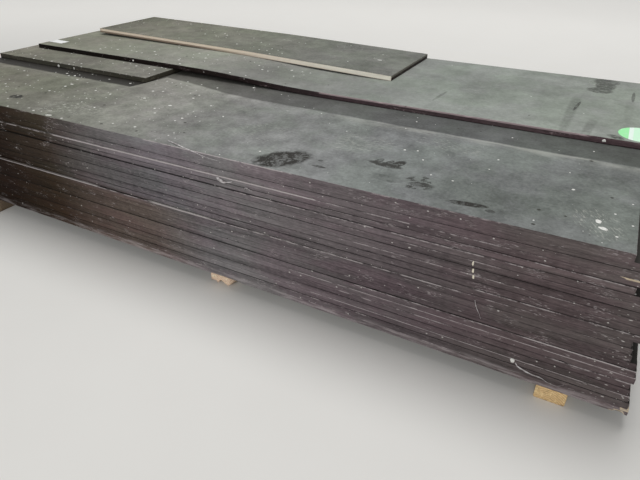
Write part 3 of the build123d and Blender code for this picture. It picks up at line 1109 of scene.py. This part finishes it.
for c in np.linspace(-1, 1, STICKER_STEPS + 1):
    column = []
    for r in np.linspace(-1, 1, STICKER_STEPS + 1):
        x = STICKER_PLACE[0] + c * math.sqrt(1 - r * r / 2) * STICKER_RADIUS
        y = STICKER_PLACE[1] + r * math.sqrt(1 - c * c / 2) * STICKER_RADIUS
        column.append((x, y, sticker_z))
    grid.append(column)
paper_label("sticker_round", sticker_paper, grid)

# Offcut
# A narrow offcut with a fresh saw cut along its front, so its birch plies show pale there. Its other
# edges are painted. It lies on the strip and its left end stands off it.

OFFCUT_MARKS = [(-0.2, 0.4, 20, 0.3, 0.08, 0.12), (0.2, 0.3, 80, 0.1, 0.06, 0.15)]
OFFCUT_SCUFFS = [
    (-0.24, 0.515, 8, 0.05, 0.012, 0.85),
    (0.225, 0.43, 5, 0.035, 0.01, 0.85),
    (0.05, 0.375, 10, 0.018, 0.008, 0.7),
]


def rubbed_offcut(tree, place):
    """Where dust is thin or thick on the offcut."""
    return any_mark(tree, place, OFFCUT_MARKS), any_mark(tree, place, OFFCUT_SCUFFS, 1.0)


OFFCUT_DUST = [
    (0.05, (0.152, 0.147, 0.12)),
    (0.15, (0.202, 0.196, 0.163)),
    (0.3, (0.204, 0.205, 0.17)),
    (0.5, (0.178, 0.18, 0.163)),
    (0.65, (0.182, 0.184, 0.17)),
]
offcut_face = film_face(
    "film_dusty_offcut", OFFCUT_DUST, 23.0, 0.93, rubbed_offcut, mottle=0.34, flecks=(-0.6, 0.1, 0.5, 0.15)
)
OFFCUT_EDGE = [(0.0, (0.02, 0.015, 0.012)), (1.0, (0.035, 0.026, 0.024))]
offcut_edge = sealed_edge(
    "edge_paint_offcut", OFFCUT_EDGE, (0.3, 0.27, 0.24, 1), 61.0, settled=(0.19, 0.18, 0.155, 1)
)
PLY_COUNT = 13


def raw_plies(name, seed):
    """Birch plies cut across: pale cream, every other ply darker where its end grain shows, darker towards
    the bottom, with painted shade low down near the left end.
    """
    material, tree, skin, place = new_material(name)
    height = point_value(tree, "height")
    wave = calc(tree, "SINE", times(tree, height, PLY_COUNT * math.pi))
    fibre = cloud(tree, place, (0.03, 0.03, 0.0008), seed)
    far = split(tree, place)["X"]
    colour = tint(tree, fade(tree, wave, -0.2, 0.7, 0.0, 0.2), (1.0, 0.96, 0.85, 1), (0.9, 0.77, 0.57, 1))
    colour = tint(tree, fade(tree, fibre, 0.45, 0.7, 0.0, 0.12), colour, (0.72, 0.58, 0.4, 1))
    colour = tint(tree, fade(tree, far, 0.2, -0.4, 0.0, 0.5), colour, (0.92, 0.7, 0.52, 1))
    soiled = cloud(tree, place, (0.25, 0.25, 0.03), seed + 2.0)
    colour = tint(tree, fade(tree, soiled, 0.55, 0.72, 0.0, 0.2), colour, (0.45, 0.35, 0.25, 1))
    # Darker towards the bottom of the cut edge
    colour = tint(tree, fade(tree, height, 0.2, 0.08, 0.0, 0.5), colour, (0.2, 0.14, 0.1, 1))
    # Painted shade on the lower part of the cut edge near its left end, where the offcut stands off the strip
    painted_shade_low_left = times(tree, fade(tree, height, 0.5, 0.36), fade(tree, far, -0.1, -0.6, 0.0, 0.8))
    colour = tint(tree, painted_shade_low_left, colour, (0.16, 0.11, 0.08, 1))
    film_line = highest(tree, fade(tree, height, 0.96, 0.985), fade(tree, height, 0.04, 0.015))
    colour = tint(tree, film_line, colour, (0.05, 0.035, 0.03, 1))
    roughness = fade(tree, fibre, 0.0, 1.0, 0.7, 0.9)
    finish_skin(tree, skin, colour, roughness, total(tree, fibre, (wave, 0.3)), 0.0005, 0.2)
    return material


board(
    "offcut", [offcut_face, offcut_edge, raw_plies("birch_plies_raw", 4.0)], 180,
    arris=0.0005, bent=True, plies=PLY_COUNT - 1, raw_front=True, gap=0.3
)

# Torn film
# Shreds of the pale backing that peel from the film where it is torn at an edge. They cling to the
# front of the stack by one end and curl away from it.

FILM_THICKNESS = 0.0005
FILM_CAMBER = 0.25
FILM_SPAN_STEPS = 6
FILM_ACROSS = (-1, -0.5, 0, 0.5, 1)
# Each shred: its knots, its width, the way its flat side faces, and its turn along its length in degrees
SHREDS = {
    "film_shred_top": ([
        (0.028, -0.59, 0.4352), (0.058, -0.599, 0.4372), (0.099, -0.6105, 0.4368), (0.128, -0.6155, 0.4352),
        (0.151, -0.6168, 0.432), (0.179, -0.6165, 0.4262), (0.219, -0.6158, 0.4235),
    ], 0.003, (0.0, -0.5, 0.85), 50),
    "film_shred_lip": ([
        (0.214, -0.6188, 0.377), (0.226, -0.6208, 0.3705), (0.241, -0.6215, 0.3682), (0.264, -0.6185, 0.3735),
    ], 0.009, (0.0, -1.0, 0.3), 15),
    "film_shred_curl": ([
        (0.296, -0.6125, 0.3555), (0.302, -0.6165, 0.3635), (0.309, -0.6185, 0.3655), (0.316, -0.617, 0.362),
        (0.324, -0.6125, 0.3575),
    ], 0.0034, (0.0, -0.7, 0.7), 70),
    "film_shred_right": ([
        (1.047, -0.6152, 0.0845), (1.056, -0.6175, 0.077), (1.083, -0.6195, 0.0705), (1.107, -0.6205, 0.0695),
        (1.124, -0.6195, 0.062), (1.142, -0.618, 0.0592), (1.158, -0.6152, 0.0655),
    ], 0.0034, (0.0, -1.0, 0.2), 120),
    "film_shred_scrape": ([
        (0.93, -0.6146, 0.225), (0.936, -0.6152, 0.208), (0.944, -0.615, 0.193), (0.951, -0.6145, 0.178),
    ], 0.0015, (0.0, -1.0, 0.0), 10),
}
film_backing, tree, skin, place = new_material("film_backing_pale")
streak = cloud(tree, place, (0.01, 0.01, 0.002), 2.0, 4.0)
colour = tint(tree, fade(tree, streak, 0.35, 0.65), (0.22, 0.19, 0.19, 1), (0.62, 0.6, 0.6, 1))
finish_skin(tree, skin, colour, fade(tree, streak, 0.3, 0.7, 0.45, 0.7), streak, 0.0003, 0.4)


def smooth_line(knots):
    """Points along a Catmull-Rom curve through the knots."""
    ends = [2 * knots[0] - knots[1]] + knots + [2 * knots[-1] - knots[-2]]
    line = []
    for a, b, c, d in zip(ends, ends[1:], ends[2:], ends[3:]):
        for step in range(FILM_SPAN_STEPS):
            t = step / FILM_SPAN_STEPS
            line.append(0.5 * (2 * b + (c - a) * t + (2 * a - 5 * b + 4 * c - d) * t * t
                               + (3 * b - a - 3 * c + d) * t ** 3))
    return line + [knots[-1]]


for number, (name, (knots, width, facing, turn)) in enumerate(SHREDS.items()):
    rng = np.random.default_rng(40 + number)
    line = smooth_line([Vector(knot) for knot in knots])
    points = []
    for k, point in enumerate(line):
        ahead = (line[min(k + 1, len(line) - 1)] - line[max(k - 1, 0)]).normalized()
        share = k / (len(line) - 1)
        flat = Vector(facing).cross(ahead).cross(ahead).normalized() * -1
        flat = Matrix.Rotation(math.radians(turn) * (share - 0.3), 3, ahead) @ flat
        across = ahead.cross(flat)
        half = width / 2 * (0.35 + 0.65 * math.sin(math.pi * min(1, share * 1.3 + 0.1)) ** 0.5)
        half *= rng.uniform(0.8, 1.1)
        for level, places in ((0.0, FILM_ACROSS), (-FILM_THICKNESS, FILM_ACROSS[::-1])):
            for s in places:
                rise = FILM_CAMBER * half * (1 - s * s) + level
                points.append(tuple(point + across * half * s + flat * rise))
    faces = []
    rim = 2 * len(FILM_ACROSS)
    for k in range(len(line) - 1):
        for j in range(rim):
            a, b = k * rim + j, k * rim + (j + 1) % rim
            faces.append((a, b, b + rim, a + rim))
    faces += [tuple(range(rim - 1, -1, -1)), tuple(range(len(points) - rim, len(points)))]
    build_piece(name, points, faces, [film_backing])

# Plaster and glue
# Flakes of white plaster dropped on the boards, two splashes of pale paint, and a run of glue down the
# front. Each is a flat lump that sticks to the board under it.

FLAKE_SIDES = 9
FLAKE_THICKNESS = 0.0012
THICK_FLAKE = 0.0015
# Rings of a flat lump, from its foot to its top: share of its outline, and share of its thickness
LUMP_RINGS = ((1.0, -0.3), (0.93, 0.5), (0.5, 1.0))
# On upper faces: x, y, length, width, turn in degrees
FLAKES_ON_TOP = {
    "sheet_22": [
        (-0.677, -0.322, 0.013, 0.009, 20),
        (-0.457, -0.344, 0.009, 0.007, 70),
        (-0.491, -0.418, 0.008, 0.006, 10),
        (-0.186, -0.341, 0.014, 0.009, 15),
        (-0.318, -0.322, 0.012, 0.006, 40),
        (-0.388, -0.476, 0.01, 0.007, 100),
        (-0.454, -0.6, 0.026, 0.009, 20),
        (0.634, -0.332, 0.008, 0.006, 20),
        (0.667, -0.322, 0.006, 0.006, 60),
        (0.7, -0.374, 0.006, 0.005, 0),
        (0.748, -0.453, 0.005, 0.005, 0),
        (0.805, -0.461, 0.006, 0.005, 30),
        (-0.066, -0.421, 0.01, 0.007, 0),
        (0.036, -0.347, 0.007, 0.006, 60),
        (-0.171, -0.241, 0.008, 0.007, 30),
        (-0.764, -0.234, 0.01, 0.008, 80),
        (1.13, -0.508, 0.018, 0.014, 110),
        (1.141, -0.536, 0.021, 0.013, 160),
        (1.065, -0.373, 0.008, 0.008, 0),
        (1.168, -0.559, 0.006, 0.006, 40),
        (-0.061, -0.036, 0.011, 0.007, 10),
    ],
    "long_strip": [
        (-0.665, 0.108, 0.01, 0.008, 30),
        (-0.428, 0.17, 0.01, 0.008, 70),
        (-0.431, -0.003, 0.01, 0.007, 10),
        (-0.021, 0.166, 0.012, 0.009, 50),
    ],
    "offcut": [(0.238, 0.42, 0.02, 0.006, 5)],
}
# On front edges: node, x, z, length, height
FLAKES_ON_EDGES = [
    ("short_sheet", -0.925, 0.4405, 0.013, 0.013),
    ("short_sheet", -0.834, 0.441, 0.005, 0.012),
    ("long_strip", -0.66, 0.461, 0.009, 0.007),
    ("long_strip", 1.102, 0.4435, 0.013, 0.009),
    ("sheet_03", 1.0395, 0.0852, 0.013, 0.015),
]
GLUE_RUN = [
    ("sheet_16", 0.911, 0.319, 0.005, 0.014),
    ("sheet_15", 0.914, 0.3015, 0.0055, 0.015),
    ("sheet_14", 0.917, 0.2845, 0.0055, 0.013),
]


def lump(rng, points, faces, middle, right, up, out, length, height, thickness):
    """Adds one closed flat lump with an uneven outline, sunk a little into the face behind it."""
    first = len(points)
    reach = rng.uniform(0.75, 1.1, FLAKE_SIDES)
    for share, level in LUMP_RINGS:
        for k in range(FLAKE_SIDES):
            angle = math.tau * k / FLAKE_SIDES
            x = math.cos(angle) * length / 2 * reach[k] * share
            y = math.sin(angle) * height / 2 * reach[k] * share
            points.append(tuple(middle + right * x + up * y + out * thickness * level))
    for ring in range(len(LUMP_RINGS) - 1):
        for k in range(FLAKE_SIDES):
            a = first + ring * FLAKE_SIDES + k
            b = first + ring * FLAKE_SIDES + (k + 1) % FLAKE_SIDES
            faces.append((a, b, b + FLAKE_SIDES, a + FLAKE_SIDES))
    faces.append(tuple(range(first + FLAKE_SIDES - 1, first - 1, -1)))
    faces.append(tuple(range(len(points) - FLAKE_SIDES, len(points))))


def crumbly(name, pale, dull, seed):
    """A dry and crumbly material that varies between two colours."""
    material, tree, skin, place = new_material(name)
    crumb = cloud(tree, place, 0.003, seed, 4.0, 0.7)
    colour = tint(tree, fade(tree, crumb, 0.4, 0.7, 0.0, 0.7), pale, dull)
    finish_skin(tree, skin, colour, fade(tree, crumb, 0.3, 0.7, 0.7, 0.9), crumb, 0.0006, 0.2)
    return material


def edge_lumps(rng, points, faces, places, thickness):
    """Adds a lump on a board's front edge for each place."""
    ahead, up, out = Vector((1, 0, 0)), Vector((0, 0, 1)), Vector((0, -1, 0))
    for node, x, z, length, height in places:
        front = solid_of(node).ray_cast(Vector((x, -2.0, z)), Vector((0, 1, 0)))[0]
        lump(rng, points, faces, front, ahead, up, out, length, height, thickness)


rng = np.random.default_rng(77)
points, faces = [], []
out = Vector((0, 0, 1))
for node, flakes in FLAKES_ON_TOP.items():
    for x, y, length, width, turn in flakes:
        middle = Vector((x, y, surface_height(node, x, y)))
        right = Matrix.Rotation(math.radians(turn), 3, "Z") @ Vector((1, 0, 0))
        lump(rng, points, faces, middle, right, out.cross(right), out, length, width, FLAKE_THICKNESS)
edge_lumps(rng, points, faces, FLAKES_ON_EDGES, THICK_FLAKE)
plaster = crumbly("plaster_white", (0.82, 0.82, 0.78, 1), (0.55, 0.54, 0.5, 1), 2.0)
build_piece("plaster_flakes", points, faces, [plaster])
points, faces = [], []
edge_lumps(rng, points, faces, GLUE_RUN, FLAKE_THICKNESS)
dried_glue = crumbly("glue_dried", (0.85, 0.79, 0.66, 1), (0.6, 0.53, 0.4, 1), 5.0)
build_piece("glue_run", points, faces, [dried_glue])

# Studio
# A pale plain floor and soft even light from overhead and in front, seen from where the photograph
# was taken.

FLOOR_REACH = 30.0
# Away from the lamps the camera sees the floor in its own pale colour: from where to where, measured
# from the middle of the lit part, and how strongly
LIT_MIDDLE = (0.3, -2.5, 0.0)
LIT_REACH = 2.6
LIFTED_REACH = 7.5
FLOOR_LIFT = 0.6
floor_mesh = bpy.data.meshes.new("studio_floor")
corners = [(-1, -1), (1, -1), (1, 1), (-1, 1)]
floor_mesh.from_pydata([(x * FLOOR_REACH, y * FLOOR_REACH, 0) for x, y in corners], [], [(0, 1, 2, 3)])
floor_paint, tree, skin, place = new_material("studio_floor")
patches = cloud(tree, place, 0.4, 1.0)
floor_colour = tint(tree, patches, (0.74, 0.73, 0.7, 1), (0.78, 0.77, 0.74, 1))
tree.links.new(floor_colour, skin.inputs["Base Color"])
tree.links.new(floor_colour, skin.inputs["Emission Color"])
skin.inputs["Roughness"].default_value = 0.9
skin.inputs["Specular IOR Level"].default_value = 0.1
camera_ray = tree.nodes.new("ShaderNodeLightPath").outputs["Is Camera Ray"]
from_lit = put(tree, "VectorMath", {0: place, 1: LIT_MIDDLE}, operation="DISTANCE").outputs["Value"]
lifted = times(tree, fade(tree, from_lit, LIT_REACH, LIFTED_REACH), camera_ray)
tree.links.new(times(tree, lifted, FLOOR_LIFT), skin.inputs["Emission Strength"])
floor_mesh.materials.append(floor_paint)
floor = bpy.data.objects.new("studio_floor", floor_mesh)
bpy.context.scene.collection.objects.link(floor)

WORLD_LIGHT = 0.21
world = bpy.data.worlds.new("studio")
bpy.context.scene.world = world
world.use_nodes = True
tree = world.node_tree
rays = tree.nodes.new("ShaderNodeLightPath").outputs
seen = highest(tree, rays["Is Camera Ray"], rays["Is Glossy Ray"])
seen = highest(tree, seen, rays["Is Transmission Ray"])
background = tree.nodes["Background"]
background.inputs["Color"].default_value = (1, 1, 1, 1)
tree.links.new(total(tree, WORLD_LIGHT, (seen, 1 - WORLD_LIGHT)), background.inputs["Strength"])

# Round soft lamps: place, what it is aimed at, width in metres and power in watts
LAMPS = {
    "overhead_lamp": ((0.3, 0.4, 4.2), (0.0, 0.0, 0.3), 2.6, 112),
    "front_lamp": ((1.0, -5.4, 2.7), (0.1, -0.6, 0.25), 2.2, 116),
}
for name, (location, target, width, power) in LAMPS.items():
    lamp = bpy.data.lights.new(name, "AREA")
    lamp.shape = "DISK"
    lamp.size = width
    lamp.energy = power
    holder = bpy.data.objects.new(name, lamp)
    holder.visible_camera = False
    holder.location = location
    holder.rotation_euler = (Vector(target) - Vector(location)).to_track_quat("-Z", "Y").to_euler()
    bpy.context.scene.collection.objects.link(holder)

CAMERA_PLACE = (1.0854, -1.6517, 0.9898)
PITCH, HEADING, ROLL = math.radians(31.473), math.radians(28.34), math.radians(0.168)
SENSOR_WIDTH = 36.0
FOCAL_LENGTH = 30.42
camera = bpy.data.cameras.new("photo_camera")
camera.sensor_width = SENSOR_WIDTH
camera.lens = FOCAL_LENGTH
camera_holder = bpy.data.objects.new("photo_camera", camera)
bpy.context.scene.collection.objects.link(camera_holder)
aim = Matrix.Rotation(HEADING, 4, "Z") @ Matrix.Rotation(math.pi / 2 - PITCH, 4, "X")
camera_holder.matrix_world = Matrix.Translation(CAMERA_PLACE) @ aim @ Matrix.Rotation(ROLL, 4, "Z")
bpy.context.scene.camera = camera_holder
bpy.context.scene.view_settings.view_transform = "Standard"
